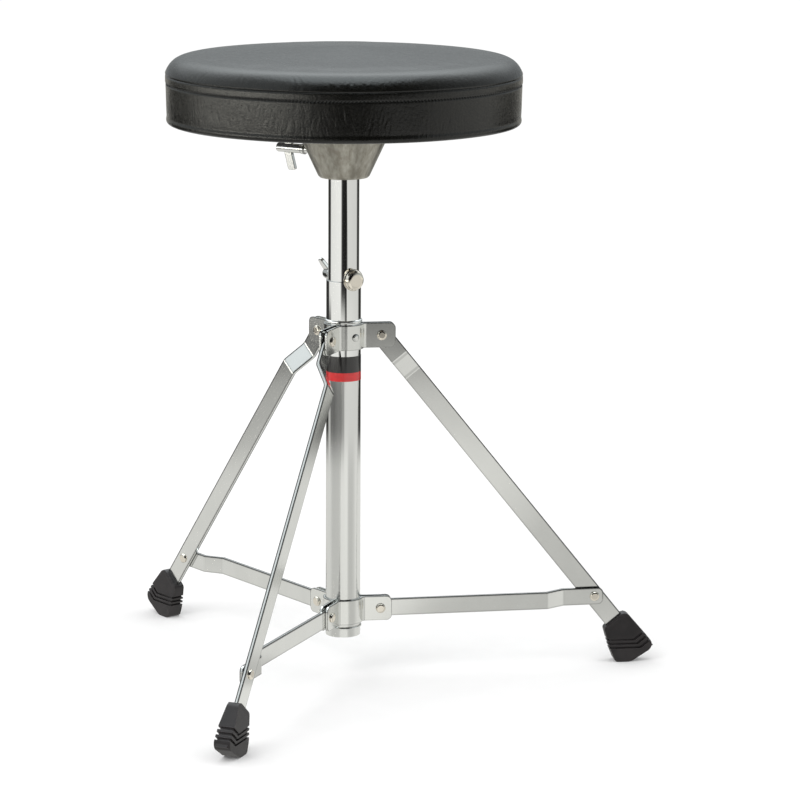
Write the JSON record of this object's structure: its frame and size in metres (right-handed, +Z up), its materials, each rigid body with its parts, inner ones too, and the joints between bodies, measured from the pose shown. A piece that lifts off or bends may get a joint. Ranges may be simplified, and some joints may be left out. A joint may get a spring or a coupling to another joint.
{
  "type": "drum throne",
  "caption": "Round padded drum throne on a telescoping chrome post with a height bolt and a folding flat-bar tripod on rubber feet.",
  "frame": {"origin": "on the post axis at floor level, under the middle of the tripod", "axes": "+Z up along the post; +X along the radial plane of leg 1; legs 2 and 3 at 120 and 240 degrees"},
  "size_m": [0.4122, 0.463, 0.521],
  "materials": {
    "tube_chrome": "polished",
    "stripe_black": "gloss",
    "stripe_red": "gloss",
    "bracket_steel": "polished",
    "bar_steel": "satin",
    "rivet_nickel": "satin",
    "foot_rubber": "matte",
    "bolt_nickel": "satin",
    "fastener_chrome": "polished",
    "fastener_zinc": "satin",
    "hub_casting": "satin",
    "plywood": "matte",
    "foam": "matte",
    "vinyl": "satin",
    "dust_cloth": "matte"
  },
  "bodies": {
    "base": {"base_tube": "tube_chrome", "stripe_black": "stripe_black", "stripe_red": "stripe_red", "upper_bracket_plate_1": "bracket_steel", "upper_bracket_plate_2": "bracket_steel", "upper_bracket_plate_3": "bracket_steel", "bracket_set_rivets": "rivet_nickel", "upper_pivot_rivets": "rivet_nickel", "height_bolt": "bolt_nickel", "bolt_washer": "fastener_chrome"},
    "collar": {"lower_bracket_plate_1": "bracket_steel", "lower_bracket_plate_2": "bracket_steel", "lower_bracket_plate_3": "bracket_steel", "lower_pivot_rivets": "rivet_nickel"},
    "post": {"seat_post": "tube_chrome"},
    "seat": {"seat_hub": "hub_casting", "hub_screws": "fastener_zinc", "tee_nuts": "fastener_zinc", "seat_board": "plywood", "seat_foam": "foam", "seat_cover": "vinyl", "dust_cover": "dust_cloth", "cover_staples": "fastener_zinc"},
    "clamp_bolt": {"clamp_bolt": "fastener_chrome"},
    "wing_nut": {"wing_nut": "fastener_chrome"},
    "leg_1": {"leg_1": "bar_steel", "leg_1_rivet": "rivet_nickel", "foot_1": "foot_rubber"},
    "brace_1": {"brace_1": "bar_steel", "brace_1_rivet": "rivet_nickel"},
    "leg_2": {"leg_2": "bar_steel", "leg_2_rivet": "rivet_nickel", "foot_2": "foot_rubber"},
    "brace_2": {"brace_2": "bar_steel", "brace_2_rivet": "rivet_nickel"},
    "leg_3": {"leg_3": "bar_steel", "leg_3_rivet": "rivet_nickel", "foot_3": "foot_rubber"},
    "brace_3": {"brace_3": "bar_steel", "brace_3_rivet": "rivet_nickel"}
  },
  "joints": [
    {"name": "height_slide", "type": "slide", "parent": "base", "child": "post", "axis": [0, 0, 1], "range_m": [0, 0.12]},
    {"name": "seat_swivel", "type": "hinge", "parent": "post", "child": "seat", "pos_m": [0, 0, 0.4152], "axis": [0, 0, 1], "continuous": true},
    {"name": "clamp_bolt_turn", "type": "hinge", "parent": "seat", "child": "clamp_bolt", "pos_m": [-0.0383, 0.03214, 0.435], "axis": [-0.766, 0.6428, 0], "range_deg": [0, 540]},
    {"name": "wing_nut_turn", "type": "hinge", "parent": "base", "child": "wing_nut", "pos_m": [-0.00782, 0.01841, 0.3331], "axis": [-0.3907, 0.9205, 0], "range_deg": [0, 720]},
    {"name": "tripod_fold", "type": "slide", "parent": "base", "child": "collar", "axis": [0, 0, 1], "range_m": [0, 0.12009]},
    {"name": "leg_1_pivot", "type": "hinge", "parent": "base", "child": "leg_1", "pos_m": [0.031, 0, 0.2855], "axis": [0, 1, 0], "range_deg": [0, 38.68]},
    {"name": "brace_1_pivot", "type": "hinge", "parent": "collar", "child": "brace_1", "pos_m": [0.031, 0, 0.05575], "axis": [0, 1, 0], "range_deg": [0, 90.5]},
    {"name": "leg_2_pivot", "type": "hinge", "parent": "base", "child": "leg_2", "pos_m": [-0.0155, 0.02685, 0.2855], "axis": [-0.866, -0.5, 0], "range_deg": [0, 38.68]},
    {"name": "brace_2_pivot", "type": "hinge", "parent": "collar", "child": "brace_2", "pos_m": [-0.0155, 0.02685, 0.05575], "axis": [-0.866, -0.5, 0], "range_deg": [0, 90.5]},
    {"name": "leg_3_pivot", "type": "hinge", "parent": "base", "child": "leg_3", "pos_m": [-0.0155, -0.02685, 0.2855], "axis": [0.866, -0.5, 0], "range_deg": [0, 38.68]},
    {"name": "brace_3_pivot", "type": "hinge", "parent": "collar", "child": "brace_3", "pos_m": [-0.0155, -0.02685, 0.05575], "axis": [0.866, -0.5, 0], "range_deg": [0, 90.5]}
  ],
  "couplings": [
    {"joint": "leg_1_pivot", "follows": "tripod_fold", "rad_per_m": 5.6194},
    {"joint": "brace_1_pivot", "follows": "tripod_fold", "rad_per_m": 13.151},
    {"joint": "leg_2_pivot", "follows": "tripod_fold", "rad_per_m": 5.6194},
    {"joint": "brace_2_pivot", "follows": "tripod_fold", "rad_per_m": 13.151},
    {"joint": "leg_3_pivot", "follows": "tripod_fold", "rad_per_m": 5.6194},
    {"joint": "brace_3_pivot", "follows": "tripod_fold", "rad_per_m": 13.151}
  ]
}
